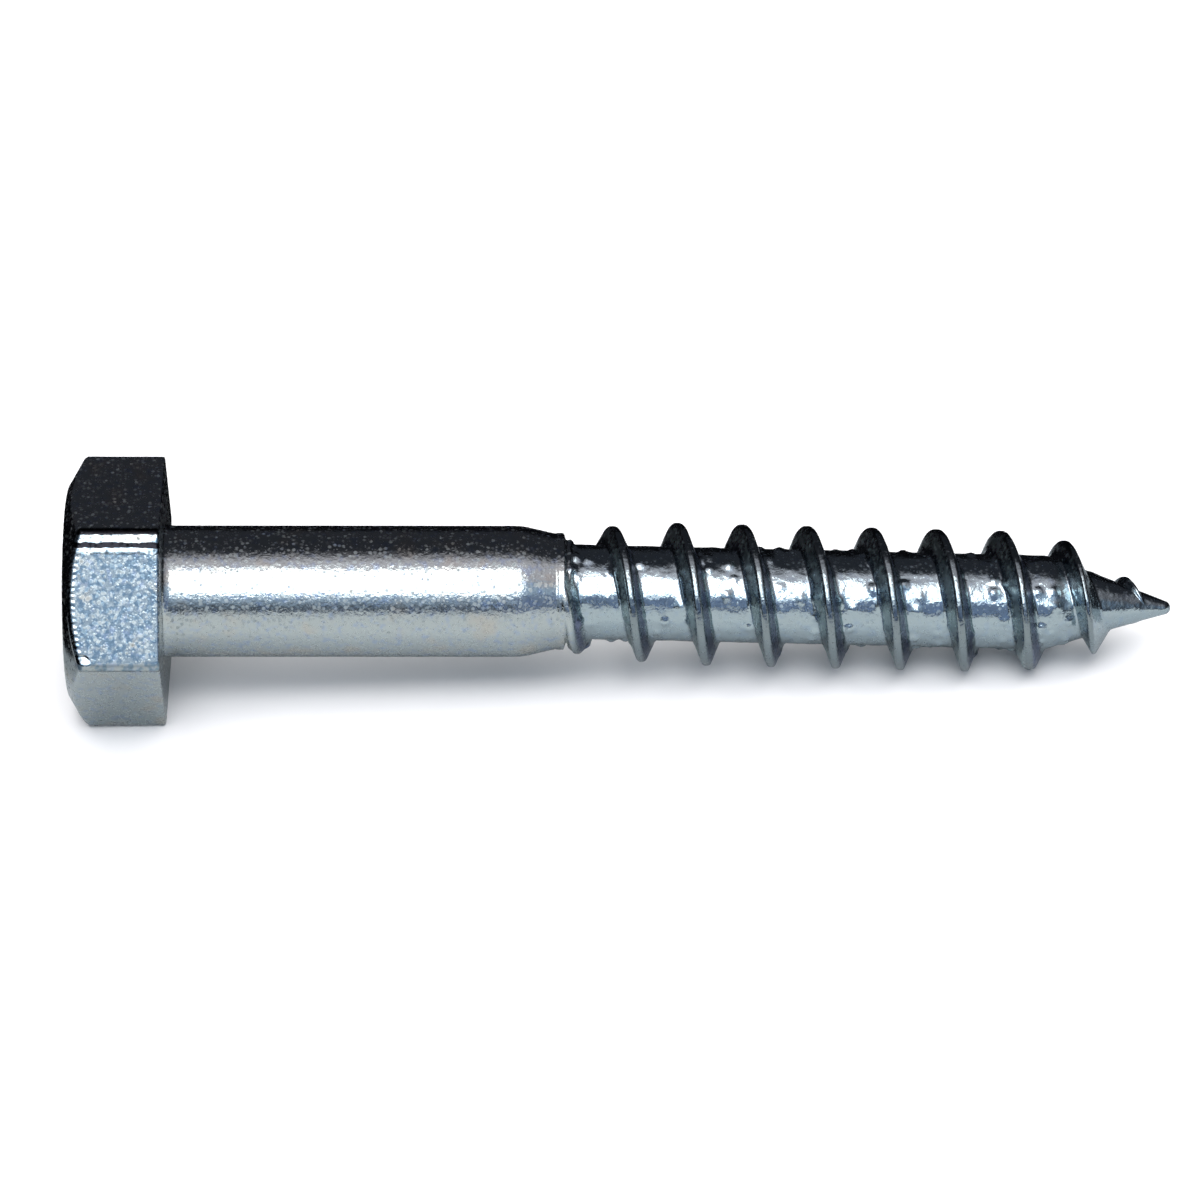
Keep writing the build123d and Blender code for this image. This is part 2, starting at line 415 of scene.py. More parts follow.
class ScrewForm:
    """Works out the screw's surface as a grid wrapped round its axis.

    The rows of the grid are rings on the head and shank. On the thread they are
    helices that follow its crest, so each row ends one pitch further along than it
    starts, on the start of a later row, and the two are merged there.
    """

    def __init__(self, tree, size):
        self.tree = tree
        self.size = size

    def hexagon(self, angle):
        """Radius of the hexagon, with a corner towards +Y and rounded corners."""
        tree = self.tree
        half = self.size["across_flats"] / 2
        rounding = self.size["corner_radius"]
        corner_centre = (half - rounding) / math.cos(HALF_SIDE)
        from_corner = tree.math("ABSOLUTE", tree.math("WRAP", angle, HALF_SIDE, -HALF_SIDE))
        flat = half / tree.cosine(HALF_SIDE - from_corner)
        across = corner_centre * tree.sine(from_corner)
        reach = tree.root(rounding * rounding - across * across)
        corner = corner_centre * tree.cosine(from_corner) + reach
        flat_half = (half - rounding) * math.tan(HALF_SIDE)
        rounded_to = HALF_SIDE - tree.math("ARCTANGENT", flat_half / half)
        return tree.choose(from_corner < rounded_to, corner, flat)

    def core(self, x):
        """Radius of the neck, shank, taper, collar, root and point, without the thread."""
        tree = self.tree
        size = self.size
        shank = size["shank_diameter"] / 2
        blank = size["blank_diameter"] / 2
        root = size["root_diameter"] / 2
        shelf = size["shelf_diameter"] / 2
        step = size["step_width"]
        in_neck = 1 - tree.ramp(x, 0, size["neck_length"])
        taper = (shank - blank) / (size["taper_end"] - size["taper_start"])
        tapered = shank - taper * (x - size["taper_start"])
        radius = tree.math("SMOOTH_MIN", shank, tapered, SHOULDER_BLEND)
        radius = tree.math("SMOOTH_MAX", radius, blank, COLLAR_BLEND)
        radius = radius + size["neck_flare"] * in_neck * in_neck
        collar_start = size["taper_end"] + step
        collar_end = collar_start + size["collar_width"]
        shelf_end = collar_end + step + size["shelf_width"]
        on_collar = tree.smooth_ramp(x, size["taper_end"], collar_start)
        radius = radius + size["collar_height"] * on_collar
        past_collar = tree.smooth_ramp(x, collar_end, collar_end + step)
        radius = radius + (shelf - blank - size["collar_height"]) * past_collar
        past_shelf = tree.smooth_ramp(x, shelf_end, shelf_end + step)
        radius = radius + (root - shelf) * past_shelf
        ball = size["tip_radius"]
        ball_centre = size["length"] - ball
        run = ball_centre - size["point_start"]
        reach = tree.root(run * run + root * root)
        slope = tree.math("ARCTAN2", root, run) - tree.math("ARCSINE", ball / reach)
        cone = ball / tree.cosine(slope) + (ball_centre - x) * tree.math("TANGENT", slope)
        radius = tree.math("SMOOTH_MIN", radius, cone, CONE_BLEND)
        from_ball = x - ball_centre
        round_end = tree.root(ball * ball - from_ball * from_ball)
        return tree.choose(from_ball > ball * tree.sine(slope), round_end, radius)

    def ridge(self, x, angle):
        """Radius of the thread's ridge: straight flanks and a flat crest with rounded edges."""
        tree = self.tree
        size = self.size
        half_pitch = size["pitch"] / 2
        along_helix = x - size["pitch"] * (angle - size["thread_direction"]) / TAU
        from_crest = tree.math("WRAP", along_helix, half_pitch, -1 * half_pitch)
        crest_place = x - from_crest
        from_crest = tree.math("ABSOLUTE", from_crest)
        full = size["thread_diameter"] / 2
        start = size["run_in_diameter"] / 2
        risen = tree.ramp(crest_place, size["run_in_start"], size["run_in_end"])
        top = start + (full - start) * tree.root(risen)
        fall_length = size["crest_fall_end"] - size["crest_fall_start"]
        fallen = (crest_place - size["crest_fall_start"]) / fall_length
        fallen = tree.math("MAXIMUM", fallen, 0)
        top = top - full * fallen * fallen * fallen
        unrisen = 1 - risen
        spread = FIRST_SPREAD * unrisen * unrisen * unrisen + LAST_SPREAD * fallen
        flank = size["flank_angle"] + spread
        blunt = tree.math("ABSOLUTE", crest_place - BLUNT_PLACE)
        blunt = tree.smooth_ramp(blunt, *BLUNT_REACH)
        top = top - BLUNT_DROP * blunt
        rounding = size["crest_radius"] * (1 - ROUNDING_LOSS * fallen) + BLUNT_ROUNDING * blunt
        half_land = size["crest_land"] / 2 * (1 - LAND_LOSS * fallen)
        crest_half = half_land + rounding * tree.cosine(flank)
        off_land = tree.math("MAXIMUM", from_crest - half_land, 0)
        arc = top - rounding + tree.root(rounding * rounding - off_land * off_land)
        drop = (from_crest - crest_half) / tree.math("TANGENT", flank)
        straight = top - rounding * (1 - tree.sine(flank)) - drop
        return tree.choose(from_crest < crest_half, arc, straight)

    def stations(self, hexagon):
        """The head's outline from the middle of its end: (x, radius, rows to get there)."""
        size = self.size
        end = -1 * size["head_height"]
        flat_end = size["end_face"] / 2
        soft = size["edge_softness"]
        rim = size["rim_radius"]
        chamfer = math.tan(CHAMFER_ANGLE)
        side = end + (hexagon - flat_end) * chamfer + soft
        neck = size["shank_diameter"] / 2 + size["neck_flare"]
        cut = math.cos(45 * DEGREE)
        return [
            (end, 0, 0),
            (end, flat_end - soft - SUPPORT, 14),
            (end, flat_end - soft, 1),
            (end + soft * chamfer, flat_end + soft, 2),
            (end + (hexagon - soft - flat_end) * chamfer, hexagon - soft, 5),
            (side, hexagon, 2),
            (side + SUPPORT, hexagon, 1),
            (-1 * rim - SUPPORT, hexagon, 15),
            (-1 * rim, hexagon, 1),
            (rim * (cut - 1), hexagon - rim * (1 - cut), 1),
            (0, hexagon - rim, 1),
            (0, hexagon - rim - SUPPORT, 1),
            (0, neck + SUPPORT, 6),
            (0, neck, 1),
        ]

    def shank_stations(self):
        """Where the rings stand along the shank: (x, rows to get there)."""
        size = self.size
        return [
            (size["neck_length"], 5),
            (size["taper_start"] - BEFORE_TAPER, 60),
            (size["taper_end"] - SUPPORT, 20),
            (size["taper_end"] + size["collar_width"] + PAST_COLLAR, 28),
        ]

    def surface(self, row, column):
        """Place on the straight screw, and the number of rows that are rings."""
        tree = self.tree
        size = self.size
        turn = column / COLUMNS
        crowding = CORNER_CROWDING / 6
        angle = TAU * turn - crowding * tree.sine(6 * TAU * turn)
        hexagon = self.hexagon(angle)
        stations = self.stations(hexagon)
        x, head_radius, first_row = stations[0]
        for (x0, r0, _), (x1, r1, rows) in zip(stations, stations[1:]):
            part = tree.ramp(row, first_row, first_row + rows)
            x = x + (x1 - x0) * part
            head_radius = head_radius + (r1 - r0) * part
            first_row += rows
        neck_row = first_row
        x0 = 0
        for x1, rows in self.shank_stations():
            part = tree.ramp(row, first_row, first_row + rows)
            x = x + (x1 - x0) * part
            first_row += rows
            x0 = x1
        thread_start = x0
        pitch = size["pitch"]
        phase = -1 * pitch * size["thread_direction"] / TAU
        turns_before = tree.math("FLOOR", (thread_start - pitch - phase) / pitch)
        first_crest = phase + pitch * turns_before
        pitches = (row - first_row) / ROWS_PER_PITCH
        pitches = pitches - CREST_CROWDING / TAU * tree.sine(pitches * TAU)
        helix = first_crest + pitch * pitches + pitch * angle / TAU
        helix = tree.math("MINIMUM", tree.math("MAXIMUM", helix, thread_start), size["length"])
        x = tree.choose(row > first_row + 0.5, helix, x)
        radius = tree.math("SMOOTH_MAX", self.core(x), self.ridge(x, angle), THREAD_BLEND)
        at_tip = x > size["length"] - HAIR
        radius = tree.choose(at_tip, 0, radius)
        radius = tree.choose(row > neck_row + 0.5, radius, head_radius)
        return x, radius, angle, first_row


# The plating's thickness: the widths of its forms, and their shares of the lump height
WAVE_WIDTH = 2.6 * MM       # long waves all over
WAVE_SHARE = 0.12
RIPPLE_WIDTH = 0.8 * MM     # ripples, which are stronger on the head and in the thread
RIPPLE_SHARE = 0.06
HEAD_RIPPLE_SHARE = 0.15
THREAD_RIPPLE_SHARE = 0.3
ROOT_RIPPLE_SHARE = 0.7
FINE_WIDTH = 0.5 * MM       # fine lumps in the thread's root
FINE_SHARE = 0.25
DROP_SPACING = 0.95 * MM    # drops in the thread's root
DROP_SHARE = 1.4
DROP_EDGE = (0.42, 0.1)     # from a drop's foot to its top, in spacings from its middle
DROPS_MISSING = 0.35        # share of the places that hold no drop

# Where those forms are
ROOT_FADES = (2.9 * MM, 3.5 * MM)   # from the screw's axis: up the thread's flanks
THREAD_REACH = 0.5 * MM     # past the taper's end, until the thread's forms are whole
POINT_FADED = 52 * MM       # along the axis: the lumps fade from the point's start to here
POINT_LOSS = 0.8            # and this much of them is gone there
HEAD_RIPPLES = (0, -0.2 * MM)   # along the axis


def lumps(tree, size, height):
    """Height of the thick, uneven plating, which gathers in drops between the crests."""
    place = tree.value(tree.node("GeometryNodeInputPosition"))
    along, across, up = tree.parts(place)
    radius = tree.root(across * across + up * up)
    thread_start = size["taper_end"]
    in_thread = tree.smooth_ramp(along, thread_start, thread_start + THREAD_REACH)
    in_root = in_thread * (1 - tree.smooth_ramp(radius, *ROOT_FADES))
    on_point = tree.smooth_ramp(along, size["point_start"], POINT_FADED)
    in_root = in_root * (1 - POINT_LOSS * on_point)
    on_head = tree.smooth_ramp(along, *HEAD_RIPPLES)
    waves = tree.noise(place, WAVE_WIDTH, detail=1.0) - 0.5
    ripples = tree.noise(place, RIPPLE_WIDTH) - 0.5
    fine = tree.noise(place, FINE_WIDTH, detail=1.0) - 0.5
    drops = tree.smooth_ramp(tree.cells(place, DROP_SPACING), *DROP_EDGE)
    picked, _, _ = tree.parts(tree.cells(place, DROP_SPACING, "Color"))
    drops = drops * (picked > DROPS_MISSING)
    even = WAVE_SHARE * waves + RIPPLE_SHARE * ripples + HEAD_RIPPLE_SHARE * on_head * ripples
    rough = ROOT_RIPPLE_SHARE * ripples + FINE_SHARE * fine + DROP_SHARE * drops
    return height * (even + THREAD_RIPPLE_SHARE * in_thread * ripples + in_root * rough)


def bent_and_laid(tree, body, size):
    """The straight screw with its threaded part bent down, then laid tip down."""
    along, across, up = tree.parts(tree.value(tree.node("GeometryNodeInputPosition")))
    point = tree.ramp(along, size["point_start"], size["length"])
    up = up - size["tip_droop"] * point * point
    past = along - size["bend_place"]
    bend = size["bend_angle"] * tree.smooth_ramp(past, -BEND_REACH, BEND_REACH)
    turned = past * tree.cosine(bend) + up * tree.sine(bend)
    lowered = up * tree.cosine(bend) - past * tree.sine(bend)
    place = tree.vector(size["bend_place"] + turned, across, lowered)
    body = tree.changed("GeometryNodeSetPosition", body, {"Position": place})
    turn = tree.vector(0, size["resting_tilt"], 0)
    return tree.changed("GeometryNodeTransform", body, {"Rotation": turn})


def size_inputs(group, sizes):
    """Gives the group one named input for each size, and returns their identifiers."""
    identifiers = {}
    for key in sizes.__annotations__:
        info = sizes.bl_rna.properties[key]
        socket = group.interface.new_socket(
            info.name, in_out="INPUT", socket_type="NodeSocketFloat"
        )
        socket.subtype = "ANGLE" if info.subtype == "ANGLE" else "DISTANCE"
        socket.description = info.description
        socket.default_value = getattr(sizes, key)
        identifiers[key] = socket.identifier
    return identifiers


def screw_group(sizes, finish, material):
    """The Geometry Nodes tree of the screw, and the identifiers of its inputs."""
    group = bpy.data.node_groups.new("Lag screw form", "GeometryNodeTree")
    group.interface.new_socket("Geometry", in_out="OUTPUT", socket_type="NodeSocketGeometry")
    identifiers = size_inputs(group, sizes)
    tree = Tree(group)
    given = tree.node("NodeGroupInput")
    size = {
        key: tree.value(given, sizes.bl_rna.properties[key].name) for key in identifiers
    }
    index = tree.value(tree.node("GeometryNodeInputIndex"))
    row = tree.math("FLOOR", (index + 0.5) / (COLUMNS + 1))
    column = index - row * (COLUMNS + 1)
    x, radius, angle, rings = ScrewForm(tree, size).surface(row, column)
    turns = math.ceil((sizes.length - sizes.taper_end) / sizes.pitch) + SPARE_TURNS
    counts = {"Vertices X": rings + turns * ROWS_PER_PITCH + 1, "Vertices Y": COLUMNS + 1}
    body = tree.node("GeometryNodeMeshGrid", {}, counts).outputs[0]
    wrapped = tree.vector(x, radius * tree.cosine(angle), radius * tree.sine(angle))
    body = tree.changed("GeometryNodeSetPosition", body, {"Position": wrapped})
    body = tree.changed("GeometryNodeFlipFaces", body)
    body = tree.changed("GeometryNodeMergeByDistance", body, {"Distance": HAIR})
    normal = tree.value(tree.node("GeometryNodeInputNormal"))
    height = lumps(tree, size, finish.lump_height)
    settings = {"operation": "SCALE"}
    offset = tree.node("ShaderNodeVectorMath", settings, {0: normal, "Scale": height})
    body = tree.changed("GeometryNodeSetPosition", body, {"Offset": offset.outputs[0]})
    body = bent_and_laid(tree, body, size)
    body = tree.changed("GeometryNodeSetShadeSmooth", body)
    body = tree.changed("GeometryNodeRealizeInstances", body)
    body = tree.changed("GeometryNodeSetMaterial", body, {"Material": material})
    tree.node("NodeGroupOutput", {}, {0: body})
    return group, identifiers


# ---- The zinc plating ------------------------------------------------------

# Where the parts of the screw start to look different, and where they wholly do
HEAD_STARTS = (0.05 * MM, -0.15 * MM)       # along the screw
THREAD_STARTS = (22.2 * MM, 22.6 * MM)      # along the screw
RIDGE_STARTS = (2.75 * MM, 3.1 * MM)        # from the thread's axis
NEAR_FLANK_STARTS = (-0.12 * MM, -0.35 * MM)  # past the crest
FAR_FLANK_STARTS = (0.15 * MM, 0.35 * MM)   # past the crest
FRONT_FACE_STARTS = (0.3 * MM, 0.15 * MM)   # under the plane of the head's front face

# The plating's patches, specks and pits: their widths, and the two values of their noise
# where they start and are whole
PATCH_WIDTH = 1.6 * MM
WARM_PATCHES = (0.52, 0.75)
WARM_STRENGTH = 0.8
WARM_LOSS = 0.5             # how much weaker the warm patches are in the thread
SPECK_WIDTH = 0.45 * MM
BLUE_SPECKS = (0.5, 0.72)
THREAD_STRENGTH = 0.6       # of the thread's tint
CREST_STRENGTH = 0.9        # of the crest's tint
PIT_WIDTH = 0.3 * MM        # the pits are on the head's front face alone
PITS = (0.44, 0.62)
PIT_STRENGTH = 0.85

# The roughness: shares of the finish's own, and what is added to it
LEAST_ROUGHNESS = 0.7       # where there is no patch
PATCH_ROUGHNESS = 0.6       # more of it on a patch
DOT_EDGE = (0.6, 0.1)       # of a dull dot, in spacings from its middle
DOT_ROUGHNESS = 0.5
FLECK_EDGE = (0.5, 0)       # of a fleck
FLECK_ROUGHNESS = 0.45
THREAD_SHINE = 0.35         # how much weaker the dots and flecks are in the thread
FLANK_ROUGHNESS = 0.15
WORN_ROUGHNESS = 0.3

# The marks on the head's front face, and the painted shade along its top edge: how far
# down from its top edge they are, and where they start and are whole
MARK_WANDER = 0.2 * MM      # how far the marks' lines stray
SCRATCH_DOWN = 0.8 * MM     # the long scratch
SCRATCH_EDGE = (0.17 * MM, 0.13 * MM)
BROKEN_DOWN = 1.24 * MM     # the fainter one under it, which the specks break up
BROKEN_EDGE = (0.09 * MM, 0.05 * MM)
BROKEN_GAPS = (0.42, 0.5)
BROKEN_STRENGTH = 0.7
PAINTED_EDGE_SHADE = (0.27 * MM, 0.21 * MM)  # painted shade: a dark line along the top edge, where its rounding would mirror the dark room
WORN_EDGE = (7.1 * MM, 7.3 * MM)    # the duller lower edge
KNOCK_DOWN = 7.1 * MM       # the knock that turns a little of the lower corner up
KNOCK_PAST_CHAMFER = 0.35 * MM
KNOCK_EDGE = (0.4 * MM, 0.25 * MM)
KNOCK_SLOPE = 0.15
CROWN_DOWN = 1.2 * MM       # the face leans back above this
CROWN_BLEND = 0.2 * MM
CROWN_SLOPE = 0.1
NICK_SPACING = 0.33 * MM    # the nicks along the chamfer
NICK_HEIGHT = 0.007 * MM
NICK_REACH = (0.4 * MM, 0.2 * MM)   # past the chamfer

# The relief of the head's flecks and of the grains
DOME_LEAST = 0.8            # share of the flecks' height by the chamfer
DOME_MORE = 0.5             # and how much more it is further along
DOME_RISE = (2.5 * MM, 4.5 * MM)    # past the chamfer
HEAD_SMOOTHNESS = 0.8       # how much lower the grains are on the head


def place_in_thread(tree, place, sizes):
    """A place's distance from the axis of the bent thread, and how far along the axis
    it is past the nearest crest."""
    along, across, up = tree.parts(place)
    dip = RESTING_TILT + BEND_ANGLE
    past = along - BEND_POINT.x
    above = up - BEND_POINT.z
    height = past * math.sin(dip) + above * math.cos(dip)
    along_axis = BEND_PLACE + past * math.cos(dip) - above * math.sin(dip)
    radius = tree.root(across * across + height * height)
    turn = tree.math("ARCTAN2", height, across) - sizes.thread_direction
    past_crest = tree.math(
        "WRAP", along_axis - sizes.pitch / TAU * turn, sizes.pitch / 2, -sizes.pitch / 2
    )
    return radius, past_crest


def place_on_front_face(tree, place, sizes):
    """How far down the head's front face from its top edge, how far past the chamfer
    of the head's end, and 1 on that face alone."""
    along, across, up = tree.parts(place)
    upright = along * math.sin(RESTING_TILT) + up * math.cos(RESTING_TILT)
    along_axis = along * math.cos(RESTING_TILT) - up * math.sin(RESTING_TILT)
    half = sizes.across_flats / 2
    outward = upright * math.sin(HALF_SIDE) - across * math.cos(HALF_SIDE)
    upward = upright * math.cos(HALF_SIDE) + across * math.sin(HALF_SIDE)
    on_face = tree.smooth_ramp(half - outward, *FRONT_FACE_STARTS)
    radius = tree.root(across * across + upright * upright)
    chamfer = (radius - sizes.end_face / 2) * math.tan(CHAMFER_ANGLE)
    past_chamfer = along_axis + sizes.head_height - chamfer
    return half * math.tan(HALF_SIDE) - upward, past_chamfer, on_face


class Plating:
    """Works out the plating's colour, roughness and relief at each place on the screw."""

    def __init__(self, tree, sizes, finish):
        self.tree = tree
        self.finish = finish
        self.place = tree.value(tree.node("ShaderNodeTexCoord"), "Object")
        along, _, _ = tree.parts(self.place)
        radius, past_crest = place_in_thread(tree, self.place, sizes)
        self.on_head = tree.smooth_ramp(along, *HEAD_STARTS)
        self.in_thread = tree.smooth_ramp(along, *THREAD_STARTS)
        self.on_ridge = self.in_thread * tree.smooth_ramp(radius, *RIDGE_STARTS)
        # Which side of the crest a place is on: these carry the flanks' painted reflection and
        # painted shade, and their roughness.
        self.near_side = tree.smooth_ramp(past_crest, *NEAR_FLANK_STARTS)
        self.far_side = tree.smooth_ramp(past_crest, *FAR_FLANK_STARTS)
        self.patches = tree.noise(self.place, PATCH_WIDTH)
        self.specks = tree.noise(self.place, SPECK_WIDTH)
        self.flecks = self.dots(finish.fleck_size, FLECK_EDGE)
        face = place_on_front_face(tree, self.place, sizes)
        straight_down, self.past_chamfer, self.on_face = face
        self.down = straight_down + MARK_WANDER * (self.specks - 0.5)
        self.below_knock = straight_down - KNOCK_DOWN
        beside = self.past_chamfer - KNOCK_PAST_CHAMFER
        from_knock = tree.root(self.below_knock * self.below_knock + beside * beside)
        self.knock = self.on_face * tree.smooth_ramp(from_knock, *KNOCK_EDGE)

    def dots(self, size, edge):
        """Round dots, each of a strength of its own."""
        from_middle = self.tree.cells(self.place, size)
        strength, _, _ = self.tree.parts(self.tree.cells(self.place, size, "Color"))
        return self.tree.smooth_ramp(from_middle, *edge) * strength

    def line(self, down, edge):
        """A line along the front face, at a distance down from its top edge."""
        from_line = self.tree.math("ABSOLUTE", self.down - down)
        return self.tree.smooth_ramp(from_line, *edge)

    def colour(self):
        """Zinc, bluer and warmer in places, with the thread's tints, a painted reflection on the
        flanks towards the head, painted shade on those towards the tip, and the head's marks with
        a painted shade along its top edge.
        """
        tree = self.tree
        finish = self.finish
        on_ridge = self.on_ridge
        colour = tuple(finish.zinc)
        warm = WARM_STRENGTH - WARM_LOSS * self.in_thread
        pits = tree.smooth_ramp(tree.noise(self.place, PIT_WIDTH, detail=1.0), *PITS)
        gaps = tree.smooth_ramp(self.specks, *BROKEN_GAPS)
        scratches = self.line(SCRATCH_DOWN, SCRATCH_EDGE)
        scratches = scratches + BROKEN_STRENGTH * gaps * self.line(BROKEN_DOWN, BROKEN_EDGE)
        # painted shade: a dark band along the head's top edge, in the scratches' colour
        scratches = scratches + tree.smooth_ramp(self.down, *PAINTED_EDGE_SHADE)
        for amount, tint in (
            (tree.smooth_ramp(self.specks, *BLUE_SPECKS), finish.blue_tint),
            (tree.smooth_ramp(self.patches, *WARM_PATCHES) * warm, finish.warm_tint),
            (THREAD_STRENGTH * self.in_thread, finish.thread_tint),
            (CREST_STRENGTH * on_ridge, finish.crest_tint),
            # painted reflection on the flanks towards the head, and painted shade on those towards
            # the tip
            (on_ridge * self.near_side, finish.near_flank),
            (on_ridge * self.far_side, finish.far_flank),
            (PIT_STRENGTH * self.on_face * pits, finish.pit),
            # the scratches, and the painted shade along the head's top edge
            (self.on_face * scratches, finish.scratch),
        ):
            colour = tree.mix(amount, colour, tuple(tint))
        return colour

    def roughness(self):
        """Nearly a mirror, with dull dots and flecks, duller flanks and a worn lower edge."""
        dull = DOT_ROUGHNESS * self.dots(self.finish.dot_size, DOT_EDGE)
        dull = dull + FLECK_ROUGHNESS * self.flecks
        dull = dull * (1 - THREAD_SHINE * self.in_thread)
        roughness = self.finish.roughness * (LEAST_ROUGHNESS + PATCH_ROUGHNESS * self.patches)
        flanks = self.on_ridge * (self.near_side + self.far_side)
        worn = self.on_face * self.tree.smooth_ramp(self.down, *WORN_EDGE) * (1 - self.knock)
        return roughness + dull + FLANK_ROUGHNESS * flanks + WORN_ROUGHNESS * worn

    def relief(self):
        """Fine grains, the head's flecks, and the crown, nicks and knock of its front face."""
        tree = self.tree
        finish = self.finish
        grain = tree.noise(self.place, finish.grain_size, detail=2.5, roughness=0.6)
        grains = finish.grain_height * grain * (1 - HEAD_SMOOTHNESS * self.on_head)
        more = tree.smooth_ramp(self.past_chamfer, *DOME_RISE)
        domes = self.on_head * finish.dome_height * self.flecks * (DOME_LEAST + DOME_MORE * more)
        down = self.down + MARK_WANDER * self.patches
        nicks = tree.sine(down * (TAU / NICK_SPACING))
        at_chamfer = self.on_face * tree.smooth_ramp(self.past_chamfer, *NICK_REACH)
        crown = tree.math("SMOOTH_MIN", self.down, CROWN_DOWN, CROWN_BLEND)
        edges = NICK_HEIGHT * at_chamfer * nicks + KNOCK_SLOPE * self.knock * self.below_knock
        return grains + domes + edges + CROWN_SLOPE * self.on_face * crown


def zinc_plating(sizes, finish):
    """Bright zinc with fine grains, bluish and warmer patches, and duller spots."""
    material, tree = new_material("Zinc plating")
    plating = Plating(tree, sizes, finish)
    sockets = {"Strength": 1.0, "Distance": 1.0, "Height": plating.relief()}
    bump = tree.node("ShaderNodeBump", {}, sockets)
    tree.surface("ShaderNodeBsdfPrincipled", {
        "Base Color": plating.colour(),
        "Metallic": 1.0,
        "Roughness": plating.roughness(),
        "Normal": bump.outputs[0],
    })
    return material


# ---- The stage -------------------------------------------------------------

CLIP_START = 10 * MM        # the camera sees nothing nearer
FLOOR_REACH = 0.5           # each way
SHADED_FLOOR_RISE = 0.01 * MM   # of the floor that is reflected, over the one that is seen
ROOM_RADIUS = 3.0

# Two black flags that meet behind the head: one beside it and one behind the screw
FLAG_LEFT = -14 * MM
FLAG_BACK = 15 * MM
FLAG_HEIGHT = 13 * MM
FLAG_REACH = 0.2            # to the right and to the front
FLAG_PAINT = (0.005, 0.005, 0.006)

# The dim card before the thread
CARD_LEFT = 22.5 * MM
CARD_RIGHT = 75 * MM
CARD_FRONT = -60 * MM
CARD_LOW = 7 * DEGREE       # its edges' height over the floor, seen from the screw
CARD_HIGH = 30 * DEGREE

# Where each shade of the reflected floor starts, and where it is whole
FRONT_SHADE = (-200 * MM, -30 * MM)     # along Y, as the next two
NEAR_SHADE = (-12 * MM, -4 * MM)
BACK_SHADE = (2 * MM, 9 * MM)
LEFT_SHADE = (-7 * MM, -12 * MM)        # along X

# Where the room's glow starts and where it is whole: heights seen from the screw, and
# shares of the room's radius along X
GLOW_TOP = (108 * DEGREE, 84 * DEGREE)
GLOW_FOOT = (-3 * DEGREE, 26 * DEGREE)
GLOW_CHANGE = (40 * DEGREE, 60 * DEGREE)  # from the glow below to the one above
GLOW_LEFT = (-0.7, -0.35)
GLOW_RIGHT = (0.95, 0.35)


def painted(name, colour):
    """Plain matt paint."""
    material, tree = new_material(name)
    tree.surface("ShaderNodeBsdfDiffuse", {"Color": colour})
    return material


def reflected_floor(studio):
    """The floor's paint as the plating reflects it: shaded close to the screw and behind it."""
    material, tree = new_material("Shaded floor")
    along, across, _ = tree.parts(tree.value(tree.node("ShaderNodeTexCoord"), "Object"))
    in_front = tree.smooth_ramp(across, *FRONT_SHADE)
    near = tree.smooth_ramp(across, *NEAR_SHADE)
    behind = tree.smooth_ramp(across, *BACK_SHADE)
    behind = tree.math("MAXIMUM", behind, tree.smooth_ramp(along, *LEFT_SHADE))
    colour = tree.mix(in_front, tuple(studio.distant_shade), tuple(studio.front_shade))
    colour = tree.mix(near, colour, tuple(studio.shade))
    colour = tree.mix(behind, colour, tuple(studio.far_shade))
    tree.surface("ShaderNodeBsdfDiffuse", {"Color": colour})
    return material


def room_light(studio):
    """The dark room, with a glow round the soft box."""
    material, tree = new_material("Dark room")
    along, across, up = tree.parts(tree.value(tree.node("ShaderNodeTexCoord"), "Object"))
    height = tree.math("ARCTAN2", up, -1 * across)
    sideways = along / ROOM_RADIUS
    lit = tree.smooth_ramp(height, *GLOW_TOP) * tree.smooth_ramp(height, *GLOW_FOOT)
    lit = lit * tree.smooth_ramp(sideways, *GLOW_LEFT) * tree.smooth_ramp(sideways, *GLOW_RIGHT)
    upper = tree.smooth_ramp(height, *GLOW_CHANGE)
    glow = tree.mix(upper, tuple(studio.glow_below), tuple(studio.glow_above))
    colour = tree.mix(lit, tuple(studio.room), glow)
    tree.surface("ShaderNodeEmission", {"Color": colour, "Strength": 1.0})
    return material


def sheet(name, corners, faces=((0, 1, 2, 3),)):
    """A flat mesh, or a few."""
    mesh = bpy.data.meshes.new(name)
    mesh.from_pydata(corners, [], faces)
    return mesh


def upright_corners(foot, low, high):
    """The corners over a line on the floor, at two heights."""
    return [(x, y, z) for z in (low, high) for x, y in foot]


def seen_only_in_reflections(piece):
    """Hides a stage piece from the camera and from everything that isn't a mirror."""
    piece.visible_camera = False
    piece.visible_diffuse = False
    piece.visible_shadow = False


def camera_axes(studio):
    """The camera's right, up and backward directions."""
    turn, rise = studio.azimuth, studio.elevation
    back = Vector((
        math.sin(turn) * math.cos(rise), -math.cos(turn) * math.cos(rise), math.sin(rise)
    ))
    right = Vector((math.cos(turn), math.sin(turn), 0))
    up = back.cross(right)
    level, tilt = math.cos(studio.roll), math.sin(studio.roll)
    return right * level + up * tilt, up * level - right * tilt, back


# ---- Operators -------------------------------------------------------------


